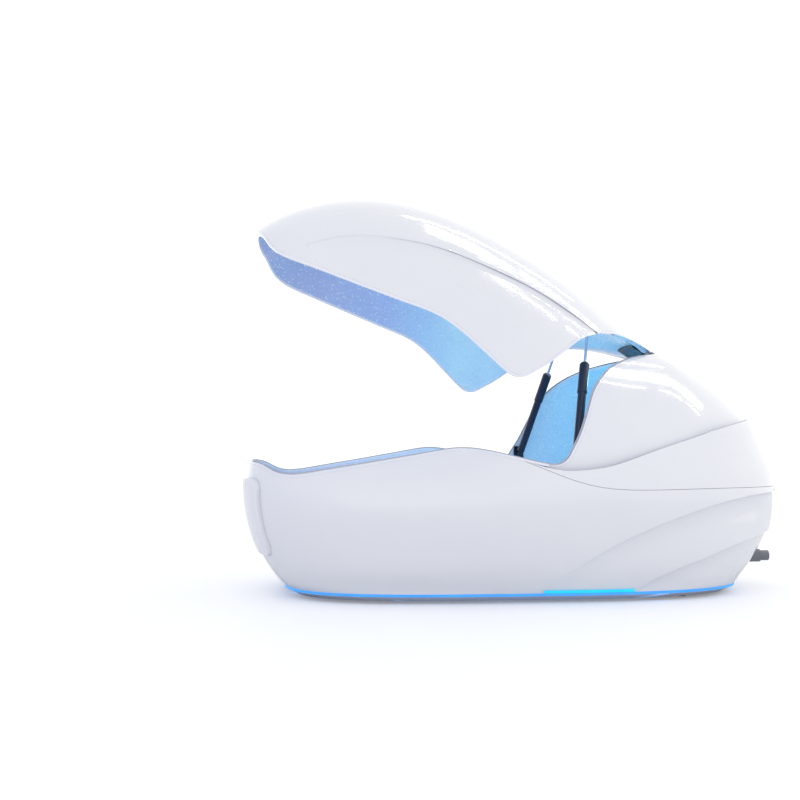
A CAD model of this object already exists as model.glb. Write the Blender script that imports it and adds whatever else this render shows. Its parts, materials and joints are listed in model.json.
"""Looks of the flotation tank: materials, two softened skins, light and camera around the CAD frame."""

import json
import math
from collections import Counter

import bpy
from mathutils import Matrix, Vector


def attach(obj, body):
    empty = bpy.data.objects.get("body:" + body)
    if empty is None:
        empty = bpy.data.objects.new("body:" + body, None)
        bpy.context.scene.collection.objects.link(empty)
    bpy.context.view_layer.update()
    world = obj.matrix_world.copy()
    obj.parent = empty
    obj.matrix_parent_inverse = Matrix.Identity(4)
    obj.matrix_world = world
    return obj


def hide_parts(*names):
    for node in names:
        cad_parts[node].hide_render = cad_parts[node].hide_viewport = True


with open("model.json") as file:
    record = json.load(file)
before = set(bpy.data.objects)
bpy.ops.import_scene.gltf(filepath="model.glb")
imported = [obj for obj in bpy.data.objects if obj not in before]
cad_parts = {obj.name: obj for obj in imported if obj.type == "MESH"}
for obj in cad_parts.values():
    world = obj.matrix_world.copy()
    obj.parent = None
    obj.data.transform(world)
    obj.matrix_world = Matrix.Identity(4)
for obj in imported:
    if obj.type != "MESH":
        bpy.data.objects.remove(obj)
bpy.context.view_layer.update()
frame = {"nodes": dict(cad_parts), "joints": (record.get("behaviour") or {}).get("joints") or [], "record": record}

# ---------------------------------------------------------------- camera
camera = bpy.data.cameras.new("camera")
camera.lens = 50
camera.sensor_width = 36
viewer = bpy.data.objects.new("camera", camera)
bpy.context.scene.collection.objects.link(viewer)
viewer.location = (-1.028, -5.28, 0.667)
viewer.rotation_euler = (math.radians(90 + 2.4), 0, math.radians(-5.5))
bpy.context.scene.camera = viewer
bpy.context.scene.view_settings.view_transform = "Standard"


# ---------------------------------------------------------------- material helpers
# sockets of a colour Mix node
MIX_FACTOR, MIX_FIRST, MIX_SECOND, MIX_RESULT = 0, 6, 7, 2
DUST, DUST_REACH = (0.66, 0.68, 0.76), 0.07
LINER_FROM, LINER_TO = -1.2, 0.8
FLAKES_PER_METRE = 100.0


class Recipe:
    """One procedural material: a Principled shader and a short way to add nodes to it."""

    def __init__(self, name, **values):
        self.material = bpy.data.materials.new(name)
        self.material.use_nodes = True
        self.tree = self.material.node_tree
        self.shader = [n for n in self.tree.nodes if n.type == "BSDF_PRINCIPLED"][0]
        for key, value in values.items():
            self.shader.inputs[key.replace("_", " ")].default_value = value
        self.place = self.node("ShaderNodeTexCoord").outputs["Object"]

    def node(self, kind, **settings):
        made = self.tree.nodes.new(kind)
        for key, value in settings.items():
            setattr(made, key, value)
        return made

    def link(self, source, target):
        self.tree.links.new(source, target)

    def noise(self, scale, detail=3.0, rough=0.5, stretch=None):
        made = self.node("ShaderNodeTexNoise")
        made.inputs["Scale"].default_value = scale
        made.inputs["Detail"].default_value = detail
        made.inputs["Roughness"].default_value = rough
        source = self.place
        if stretch:
            mapping = self.node("ShaderNodeMapping")
            mapping.inputs["Scale"].default_value = stretch
            self.link(source, mapping.inputs["Vector"])
            source = mapping.outputs["Vector"]
        self.link(source, made.inputs["Vector"])
        return made.outputs["Fac"]

    def ramp(self, source, *stops):
        """A colour ramp; each stop is (position, colour)."""
        made = self.node("ShaderNodeValToRGB")
        ramp = made.color_ramp
        while len(ramp.elements) < len(stops):
            ramp.elements.new(0.5)
        for element, (position, colour) in zip(ramp.elements, stops):
            element.position = position
            element.color = (*colour, 1)
        self.link(source, made.inputs["Fac"])
        return made.outputs["Color"]

    def to_range(self, source, low, high, new_low, new_high):
        made = self.node("ShaderNodeMapRange")
        for key, value in (("From Min", low), ("From Max", high), ("To Min", new_low), ("To Max", new_high)):
            made.inputs[key].default_value = value
        self.link(source, made.inputs["Value"])
        return made.outputs["Result"]

    def mixed(self, factor, first, second, mode="MIX"):
        made = self.node("ShaderNodeMix", data_type="RGBA", blend_type=mode)
        for index, value in ((MIX_FACTOR, factor), (MIX_FIRST, first), (MIX_SECOND, second)):
            if isinstance(value, (int, float)):
                made.inputs[index].default_value = value
            elif isinstance(value, tuple):
                made.inputs[index].default_value = (*value, 1)
            else:
                self.link(value, made.inputs[index])
        return made.outputs[MIX_RESULT]

    def colour(self, source):
        self.link(source, self.shader.inputs["Base Color"])

    def roughness(self, source):
        self.link(source, self.shader.inputs["Roughness"])

    def bump(self, source, height, strength=1.0):
        made = self.node("ShaderNodeBump")
        made.inputs["Distance"].default_value = height
        made.inputs["Strength"].default_value = strength
        self.link(source, made.inputs["Height"])
        self.link(made.outputs["Normal"], self.shader.inputs["Normal"])


def gelcoat(name, colour, shade):
    """Polished marine gelcoat: a clear gloss over white, faint orange peel, and dust grey in the hollows."""
    r = Recipe(name, Coat_Weight=0.9, Coat_Roughness=0.02, IOR=1.5)
    cloud = r.ramp(r.noise(3.0, 4.0), (0.3, shade), (0.7, colour))
    hollow = r.node("ShaderNodeAmbientOcclusion", samples=8)
    hollow.inputs["Distance"].default_value = DUST_REACH
    dust = r.ramp(hollow.outputs["AO"], (0.35, DUST), (0.95, (1.0, 1.0, 1.0)))
    r.colour(r.mixed(1.0, cloud, dust, "MULTIPLY"))
    r.roughness(r.to_range(r.noise(14.0, 5.0), 0.3, 0.7, 0.10, 0.17))
    r.bump(r.noise(180.0, 2.0), 0.0002, 0.06)
    return r.material


def glitter_liner(name, *stops):
    """Acrylic with metal flake under the gloss; each stop is a share of the way to the hood and a colour."""
    r = Recipe(name, Coat_Weight=0.7, Coat_Roughness=0.06, IOR=1.49)
    split = r.node("ShaderNodeSeparateXYZ")
    r.link(r.place, split.inputs["Vector"])
    tone = r.ramp(r.to_range(split.outputs["X"], LINER_FROM, LINER_TO, 0.0, 1.0), *stops)
    cloud = r.ramp(r.noise(5.0, 4.0), (0.3, (0.90, 0.92, 0.96)), (0.7, (1.0, 1.0, 1.0)))
    tone = r.mixed(1.0, tone, cloud, "MULTIPLY")
    flakes = r.node("ShaderNodeTexVoronoi")
    flakes.inputs["Scale"].default_value = FLAKES_PER_METRE
    r.link(r.place, flakes.inputs["Vector"])
    part = r.node("ShaderNodeSeparateColor")
    r.link(flakes.outputs["Color"], part.inputs["Color"])
    few = r.to_range(part.outputs["Red"], 0.60, 0.85, 0.0, 1.0)
    dot = r.to_range(flakes.outputs["Distance"], 0.45, 0.25, 0.0, 1.0)
    spark = r.node("ShaderNodeMath", operation="MULTIPLY")
    r.link(few, spark.inputs[0])
    r.link(dot, spark.inputs[1])
    r.colour(r.mixed(spark.outputs[0], tone, (0.86, 0.97, 1.0)))
    r.roughness(r.to_range(part.outputs["Green"], 0.0, 1.0, 0.22, 0.42))
    r.bump(part.outputs["Blue"], 0.0004, 0.25)
    return r.material


def glow(name, colour, strength):
    """A frosted light diffuser, a little uneven along its length."""
    r = Recipe(name, Roughness=0.45)
    level = r.noise(9.0, 2.0, 0.5, (1.0, 1.0, 0.2))
    tone = r.ramp(level, (0.25, tuple(c * 0.82 for c in colour)), (0.75, colour))
    r.colour(r.mixed(0.6, tone, (0.0, 0.0, 0.0)))
    r.link(tone, r.shader.inputs["Emission Color"])
    r.shader.inputs["Emission Strength"].default_value = strength
    return r.material


def metal(name, colour, rough, grain, metallic=1.0, coat=0.0, stretch=(1.0, 1.0, 1.0)):
    """A metal or painted metal whose grain runs along its stretch."""
    r = Recipe(name, Metallic=metallic, Coat_Weight=coat, Coat_Roughness=0.1)
    line = r.noise(grain, 4.0, 0.6, stretch)
    r.colour(r.ramp(line, (0.3, tuple(c * 0.85 for c in colour)), (0.7, colour)))
    r.roughness(r.to_range(line, 0.3, 0.7, rough * 0.8, rough * 1.25))
    r.bump(line, 0.0002, 0.15)
    return r.material


def rubber(name, colour, rough):
    """Rubber or plastic with a fine matt grain."""
    r = Recipe(name, Specular_IOR_Level=0.35)
    grain = r.noise(420.0, 3.0)
    r.colour(r.ramp(grain, (0.3, tuple(c * 0.8 for c in colour)), (0.7, colour)))
    r.roughness(r.to_range(grain, 0.3, 0.7, rough - 0.06, rough + 0.06))
    r.bump(grain, 0.0003, 0.3)
    return r.material


WHITE = gelcoat("white_gelcoat", (0.83, 0.835, 0.86), (0.815, 0.82, 0.85))
TRIM = gelcoat("white_trim", (0.80, 0.82, 0.85), (0.76, 0.78, 0.82))
PEARL = gelcoat("pearl_edge", (0.86, 0.85, 0.90), (0.80, 0.83, 0.92))
PLINTH = gelcoat("plinth", (0.80, 0.82, 0.86), (0.76, 0.78, 0.83))
LINER = glitter_liner("blue_liner", (0.0, (0.48, 0.55, 0.80)), (0.33, (0.50, 0.63, 0.92)),
                      (0.43, (0.58, 0.78, 0.98)), (0.52, (0.70, 0.93, 1.0)), (0.75, (0.62, 0.84, 1.0)),
                      (0.9, (0.46, 0.84, 1.0)))
PALE_LINER = glitter_liner("pale_liner", (0.0, (0.70, 0.72, 0.84)), (0.5, (0.80, 0.84, 0.91)),
                           (0.8, (0.76, 0.86, 0.96)))
STRIP = glow("light_strip", (0.05, 0.33, 0.90), 1.0)
WINDOW = glow("light_window", (0.01, 0.62, 0.98), 1.0)
LAMP = glow("lamp_glass", (0.45, 0.85, 1.0), 1.5)
NAVY = metal("strut_black", (0.018, 0.024, 0.05), 0.34, 60.0, 0.6, 0.5)
CHROME = metal("bright_steel", (0.72, 0.76, 0.84), 0.12, 90.0, 1.0, 0.0, (1.0, 1.0, 0.1))
ZINC = metal("galvanised_steel", (0.52, 0.55, 0.58), 0.42, 24.0)
BLACK = metal("black_hinge", (0.02, 0.022, 0.03), 0.4, 80.0, 0.2, 0.2)
SEAL = rubber("seal", (0.55, 0.57, 0.62), 0.5)
FOOT = rubber("rubber_foot", (0.03, 0.03, 0.034), 0.7)
PIPE = rubber("grey_plastic", (0.20, 0.21, 0.23), 0.42)
CAP = gelcoat("button_cap", (0.55, 0.74, 0.90), (0.48, 0.68, 0.86))

BY_SLOT = {"white_gelcoat": WHITE, "pearl_edge": PEARL, "plinth": PLINTH, "blue_liner": LINER,
           "light_diffuser": STRIP, "dark_metal": NAVY, "bright_steel": CHROME, "galvanised_steel": ZINC,
           "seal": SEAL, "rubber_foot": FOOT, "white_trim": TRIM, "grey_plastic": PIPE, "button_cap": CAP}
BY_NAME = {"light_window": WINDOW, "lamp_lens": LAMP, "cove_light": LAMP, "coaming": PALE_LINER,
           "hinge_pin": CHROME, "hood_hinge_leaf": BLACK, "lid_hinge_leaf": BLACK}

slot_of = {part["node"]: part["material_slot"] for part in frame["record"]["subparts"]}
body_of = {node: body for body, nodes in frame["record"]["behaviour"]["bodies"].items() for node in nodes}
for name, piece in frame["nodes"].items():
    material = BY_SLOT.get(slot_of.get(name), WHITE)
    for start, special in BY_NAME.items():
        if name.startswith(start):
            material = special
    piece.data.materials.clear()
    piece.data.materials.append(material)

# ---------------------------------------------------------------- hull with its soft swept steps
# side view of the two leading edges (x, z), and the share of the roll's depth along x
STEP_HIGH = [(-0.010, 0.020), (0.038, 0.065), (0.147, 0.144), (0.295, 0.237), (0.452, 0.312), (0.619, 0.372),
             (0.797, 0.421), (1.061, 0.458), (1.320, 0.464)]
STEP_LOW = [(0.430, 0.020), (0.456, 0.057), (0.596, 0.134), (0.766, 0.194), (0.856, 0.225), (1.080, 0.275),
            (1.320, 0.300)]
STEP_FADE = [(-0.02, 0.0), (0.15, 0.35), (0.5, 0.8), (0.9, 1.0), (1.3, 1.0)]
PLINTH_TOP = 0.045
ROLL, ROLL_DEPTH = 0.10, 0.028
ROLL_LOWEST, ROLL_HIGHEST = 0.03, 0.47
THIN_BAND = 0.01
TAIL_FROM, TAIL_RUN, TAIL_LOSS = 0.98, 0.22, 0.92
# the hull's plan as a superellipse
HALF_LENGTH, HALF_WIDTH, PLAN_POWER = 1.25, 0.74, 1.6
# where the hull's skin gets more points: over the flank, then again near each leading edge
FLANK_FROM, FLANK_LOWEST, FLANK_HIGHEST, FLANK_FACING = -0.06, 0.02, 0.49, 0.3
EDGE_ABOVE, EDGE_BELOW = 0.03, 0.12
SHARP_ANGLE = math.radians(30)


def smooth_line(points):
    """A monotone cubic through a few points."""
    steps = [b[0] - a[0] for a, b in zip(points, points[1:])]
    rises = [(b[1] - a[1]) / step for a, b, step in zip(points, points[1:], steps)]
    slopes = [rises[0]]
    for i in range(1, len(rises)):
        before, after = 2 * steps[i] + steps[i - 1], steps[i] + 2 * steps[i - 1]
        flat = rises[i - 1] * rises[i] <= 0
        slopes.append(0.0 if flat else (before + after) / (before / rises[i - 1] + after / rises[i]))
    slopes.append(rises[-1])

    def value(x):
        x = min(max(x, points[0][0]), points[-1][0])
        i = max(k for k in range(len(steps)) if k == 0 or points[k][0] <= x)
        t = (x - points[i][0]) / steps[i]
        rise = points[i][1] * (1 + 2 * t) * (1 - t) ** 2 + points[i + 1][1] * t * t * (3 - 2 * t)
        return rise + (slopes[i] * t * (1 - t) ** 2 - slopes[i + 1] * t * t * (1 - t)) * steps[i]

    return value


def edges_of(face):
    """The three edges of a triangle, each with its lower point number first."""
    return [(min(a, b), max(a, b)) for a, b in zip(face, face[1:] + face[:1])]


def refined(points, normals, faces, chosen):
    """Splits the chosen triangles in four and their neighbours to match, along the surface's curve."""
    count = Counter(key for face in faces for key in edges_of(face))
    wanted = {key for face in faces if chosen(face) for key in edges_of(face)}
    middle = {}
    for a, b in sorted(wanted):
        straight = (points[a] + points[b]) / 2
        point = straight
        if count[(a, b)] == 2:
            for end in (a, b):
                point = point - normals[end] * (straight - points[end]).dot(normals[end]) / 4
        middle[(a, b)] = len(points)
        points.append(point)
        normals.append((normals[a] + normals[b]).normalized())
    split = []
    for face in faces:
        cuts = [middle.get(key) for key in edges_of(face)]
        while cuts[0] is None and any(cuts):
            face, cuts = face[1:] + face[:1], cuts[1:] + cuts[:1]
        if all(cuts):
            (a, b, c), (d, e, f) = face, cuts
            split += [(a, d, f), (d, b, e), (f, e, c), (d, e, f)]
        elif cuts[0] and cuts[1]:
            (a, b, c), (d, e, _) = face, cuts
            split += [(a, d, c), (d, b, e), (d, e, c)]
        elif cuts[0] and cuts[2]:
            (a, b, c), (d, _, f) = face, cuts
            split += [(a, d, f), (d, b, c), (d, c, f)]
        elif cuts[0]:
            a, b, c = face
            split += [(a, cuts[0], c), (cuts[0], b, c)]
        else:
            split.append(face)
    return points, normals, split


def patch_means(points, faces, value):
    """For every point, the mean of a value over the patch of skin that it belongs to."""
    parent = list(range(len(points)))

    def root(i):
        while parent[i] != i:
            parent[i] = parent[parent[i]]
            i = parent[i]
        return i

    for face in faces:
        for corner in face[1:]:
            parent[root(corner)] = root(face[0])
    sums = {}
    for i, point in enumerate(points):
        total = sums.setdefault(root(i), [0.0, 0])
        total[0] += value(point)
        total[1] += 1
    return [sums[root(i)][0] / sums[root(i)][1] for i in range(len(points))]


def reshaped(node, nearness, moved):
    """A finer copy of a CAD skin, whose points are moved by a function of points, normals and faces."""
    source = frame["nodes"][node]
    mesh = source.data
    points = [v.co.copy() for v in mesh.vertices]
    normals = [Vector() for _ in points]
    for loop, normal in zip(mesh.loops, mesh.corner_normals):
        normals[loop.vertex_index] += normal.vector
    normals = [n.normalized() for n in normals]
    mesh.calc_loop_triangles()
    faces = [tuple(t.vertices) for t in mesh.loop_triangles]
    for close in nearness:
        points, normals, faces = refined(points, normals, faces,
                                         lambda face: all(close(points[i], normals[i]) for i in face))
    made = bpy.data.meshes.new(node + "_form")
    made.from_pydata(moved(points, normals, faces), [], faces)
    made.materials.append(mesh.materials[0])
    piece = bpy.data.objects.new(node + "_form", made)
    bpy.context.scene.collection.objects.link(piece)
    made.shade_smooth()
    made.set_sharp_from_angle(angle=SHARP_ANGLE)
    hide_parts(node)
    return piece


step_high, step_low, step_fade = (smooth_line(p) for p in (STEP_HIGH, STEP_LOW, STEP_FADE))


def held(share):
    """A share kept between 0 and 1."""
    return min(max(share, 0.0), 1.0)


def eased(share):
    """A share that starts and ends softly."""
    share = held(share)
    return share * share * (3 - 2 * share)


def outward(p):
    """The level direction out of the hull at a point."""
    x, y = p.x / HALF_LENGTH, p.y / HALF_WIDTH
    along = math.copysign(abs(x) ** PLAN_POWER, x) / HALF_LENGTH
    across = math.copysign(abs(y) ** PLAN_POWER, y) / HALF_WIDTH
    return Vector((along, across, 0)).normalized()


def rolled(p):
    """Behind each leading edge the hull turns softly inward, then comes back out to the next edge."""
    if p.x < STEP_FADE[0][0] or not ROLL_LOWEST <= p.z <= ROLL_HIGHEST:
        return p
    depth = 0.0
    for top, bottom in ((step_high(p.x), max(step_low(p.x), PLINTH_TOP)), (step_low(p.x), PLINTH_TOP)):
        share = held((p.z - bottom) / (top - bottom)) if top > bottom + THIN_BAND else 0.0
        depth += (1 - (1 - held((top - p.z) / ROLL)) ** 2) * share
    tail = 1 - TAIL_LOSS * eased((p.x - TAIL_FROM) / TAIL_RUN)
    return p - outward(p) * ROLL_DEPTH * depth * step_fade(p.x) * tail


def on_flank(p, n):
    level = FLANK_LOWEST < p.z < FLANK_HIGHEST
    return p.x > FLANK_FROM and level and n.dot(outward(p)) > FLANK_FACING


def by_a_step(p, n):
    near = any(-EDGE_ABOVE < line(p.x) - p.z < EDGE_BELOW for line in (step_high, step_low))
    return near and on_flank(p, n)


def with_steps(points, normals, faces):
    return [rolled(p) for p in points]


hull_form = reshaped("base_shell", (on_flank, by_a_step), with_steps)
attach(hull_form, body_of["base_shell"])

# ---------------------------------------------------------------- lid with its soft crease
# side view of the crease with the lid shut (x, z), and how far its side panels are sunk along x, as a share
CREASE = [(-1.120, 0.480), (-1.016, 0.585), (-0.925, 0.684), (-0.857, 0.752), (-0.752, 0.826),
          (-0.590, 0.907), (-0.420, 0.959), (-0.273, 0.982), (-0.091, 1.001), (0.110, 1.003),
          (0.297, 0.990), (0.480, 0.960), (0.620, 0.930)]
SUNK = [(-1.3, 0.0), (-1.06, 0.0), (-0.86, 0.7), (-0.64, 1.0), (0.15, 1.0), (0.36, 0.6), (0.60, 0.0)]
# under the crease the panel is drawn out at the ledge, falls off in a fillet to a hollow and comes back
LEDGE, FILLET = 0.006, 0.032
HOLLOW, HOLLOW_DEPTH = 0.16, 0.005
# above the crease the crown is rounded over its edge
ROUNDING, ROUNDING_DEPTH = 0.028, 0.004
# a patch whose middle is this near the crease is the ledge's own strip and stays
LEDGE_STRIP = 0.03
BELT = 0.46
# how far above and below the crease the lid's skin gets more points, three times over
CREASE_BANDS = ((-0.09, 0.2), (-0.045, 0.075), (-0.02, 0.04))
CREASE_FROM, CREASE_TO = -1.1, 0.62
crease, sunk = smooth_line(CREASE), smooth_line(SUNK)
lid_joint = [joint for joint in frame["joints"] if joint["name"] == "lid_hinge"][0]
hinge = Vector(lid_joint["pos_m"])
shutting = Matrix.Rotation(math.radians(lid_joint["range_deg"][0]), 3, "Y")


def shut(p):
    """Where a point of the lid is when the lid is shut."""
    return hinge + shutting @ (p - hinge)


def drop(p):
    """How far a point of the lid is under the crease, with the lid shut."""
    q = shut(p)
    return crease(q.x) - q.z


def is_outside(p, n):
    """Whether the skin at a point faces away from the lid's middle."""
    q = shut(p)
    return (shutting @ n).dot(Vector((0, q.y, q.z - BELT))) > 0


def within(band):
    """A test for the points of the lid's outer skin that lie in a band along the crease."""
    def near(p, n):
        return band[0] < drop(p) < band[1] and is_outside(p, n) and CREASE_FROM < shut(p).x < CREASE_TO
    return near


def spot(p):
    """The place of a point, the same for twin points of two patches."""
    return tuple(round(c, 5) for c in p)


def creased(points, normals, faces):
    """The panel runs up to the crease in a fillet, and the crown rolls over it."""
    means = patch_means(points, faces, drop)
    made = {}
    for p, n, mean in zip(points, normals, means):
        if abs(mean) < LEDGE_STRIP or not is_outside(p, n):
            continue
        below = drop(p)
        depth = sunk(shut(p).x)
        if mean > 0:
            inside = 1 - max(0.0, 1 - max(below, 0.0) / FILLET) ** 2
            push = (LEDGE - (LEDGE + HOLLOW_DEPTH) * inside) * depth
            if below > FILLET:
                push = -HOLLOW_DEPTH * depth * (1 - eased((below - FILLET) / HOLLOW))
        else:
            push = -ROUNDING_DEPTH * depth * max(0.0, 1 - max(-below, 0.0) / ROUNDING) ** 2
        made[spot(p)] = p + n * push
    return [made.get(spot(p), p) for p in points]


lid_form = reshaped("lid_shell", [within(band) for band in CREASE_BANDS], creased)
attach(lid_form, body_of["lid_shell"])

# ---------------------------------------------------------------- studio
# the floor's half width, and the little emission with which the camera sees it
FLOOR, FLOOR_LIFT = 30, 0.24
SKY_STRENGTH = 1.2


def stage_plane(name, corners, material):
    """A flat piece of the studio."""
    mesh = bpy.data.meshes.new(name)
    mesh.from_pydata(corners, [], [(0, 1, 2, 3)])
    made = bpy.data.objects.new(name, mesh)
    bpy.context.scene.collection.objects.link(made)
    mesh.materials.append(material)


paper = Recipe("studio_floor", Roughness=0.6, Specular_IOR_Level=0.3, Emission_Color=(1.0, 1.0, 1.0, 1.0))
paper.colour(paper.ramp(paper.noise(2.0), (0.3, (0.80, 0.81, 0.84)), (0.7, (0.82, 0.83, 0.85))))
seen = paper.node("ShaderNodeLightPath").outputs["Is Camera Ray"]
paper.link(paper.to_range(seen, 0.0, 1.0, 0.0, FLOOR_LIFT), paper.shader.inputs["Emission Strength"])
stage_plane("studio_floor", [(-FLOOR, -FLOOR, 0), (FLOOR, -FLOOR, 0), (FLOOR, FLOOR, 0), (-FLOOR, FLOOR, 0)],
            paper.material)

world = bpy.data.worlds.new("studio")
world.use_nodes = True
bpy.context.scene.world = world
tree = world.node_tree
background = [n for n in tree.nodes if n.type == "BACKGROUND"][0]
direction = tree.nodes.new("ShaderNodeTexCoord")
axes = tree.nodes.new("ShaderNodeSeparateXYZ")
tree.links.new(direction.outputs["Generated"], axes.inputs["Vector"])


def sky_tone(axis, first, last, low, high):
    """A colour that changes along one axis of the sky."""
    share = tree.nodes.new("ShaderNodeMapRange")
    for key, value in (("From Min", first), ("From Max", last)):
        share.inputs[key].default_value = value
    tree.links.new(axes.outputs[axis], share.inputs["Value"])
    tone = tree.nodes.new("ShaderNodeValToRGB")
    tone.color_ramp.elements[0].color = (*low, 1)
    tone.color_ramp.elements[1].color = (*high, 1)
    tree.links.new(share.outputs["Result"], tone.inputs["Fac"])
    return tone.outputs["Color"]


def multiplied(first, second):
    """Two colours of the sky, multiplied."""
    made = tree.nodes.new("ShaderNodeMix")
    made.data_type, made.blend_type = "RGBA", "MULTIPLY"
    made.inputs[MIX_FACTOR].default_value = 1.0
    tree.links.new(first, made.inputs[MIX_FIRST])
    tree.links.new(second, made.inputs[MIX_SECOND])
    return made.outputs[MIX_RESULT]


behind = sky_tone("Y", -0.6, 0.35, (0.93, 0.935, 0.96), (1.0, 1.0, 1.0))
nose_side = sky_tone("X", -0.95, -0.4, (0.62, 0.66, 0.80), (1.0, 1.0, 1.0))
overhead = sky_tone("Z", 0.45, 1.0, (1.0, 1.0, 1.0), (0.74, 0.75, 0.77))
sky = multiplied(multiplied(behind, nose_side), overhead)
tree.links.new(sky, background.inputs["Color"])
background.inputs["Strength"].default_value = SKY_STRENGTH


def panel(name, place, target, width, height, power, colour=(1, 1, 1)):
    """A soft rectangular light aimed at a point, which the camera doesn't see."""
    lamp = bpy.data.lights.new(name, "AREA")
    lamp.shape = "RECTANGLE"
    lamp.size, lamp.size_y = width, height
    lamp.energy = power
    lamp.color = colour
    made = bpy.data.objects.new(name, lamp)
    bpy.context.scene.collection.objects.link(made)
    made.location = place
    made.rotation_euler = (Vector(target) - Vector(place)).to_track_quat("-Z", "Y").to_euler()
    made.visible_camera = False
    return made


# ceiling windows and strip lamps, seen only in the gloss: x, y, length, width, turn in degrees, whether warm
CEILING = [(0.80, 0.06, 1.00, 0.60, 0, False), (2.30, 0.17, 1.65, 0.70, 0, False),
           (4.45, 0.25, 2.20, 0.75, 0, False), (1.63, -0.72, 1.72, 0.075, 0, True),
           (3.48, -0.68, 1.25, 0.075, 0, True), (5.30, -0.62, 1.70, 0.075, 0, True),
           (1.42, 1.08, 2.95, 0.09, 20, False)]
DAYLIGHT, WARM_LIGHT = (1.0, 1.0, 1.0), (1.0, 0.94, 0.84)
CEILING_HEIGHT = 4.0
# watts per square metre, and how much brighter the warm lamps are
CEILING_GLARE, WARM_GAIN = 30.0, 1.5
for number, (x, y, length, width, turn, warm) in enumerate(CEILING):
    power = CEILING_GLARE * length * width * (WARM_GAIN if warm else 1.0)
    lamp = panel("ceiling_%d" % number, (x, y, CEILING_HEIGHT), (x, y, 0), length, width, power,
                 WARM_LIGHT if warm else DAYLIGHT)
    lamp.rotation_euler = (0, 0, math.radians(turn))
    lamp.visible_diffuse = False

# the tank's own light: from the water, from the light strip at both sides and at the nose, and from the hood
water = panel("basin_glow", (-0.15, 0, 0.32), (-0.15, 0, 2), 1.5, 0.8, 3.4, (0.66, 0.86, 1.0))
water.visible_glossy = False
for side in (-1, 1):
    panel("under_glow_%d" % side, (0, side * 0.56, 0.03), (0, side * 0.75, 0), 1.2, 0.04, 0.25,
          (0.15, 0.45, 1.0))
panel("nose_glow", (-1.0, -0.15, 0.03), (-1.3, -0.3, 0), 0.03, 0.7, 0.5, (0.15, 0.42, 1.0))
panel("cove", (0.74, 0.0, 1.03), (0.2, 0.0, 1.1), 0.3, 0.05, 1.0, (0.35, 0.8, 1.0))
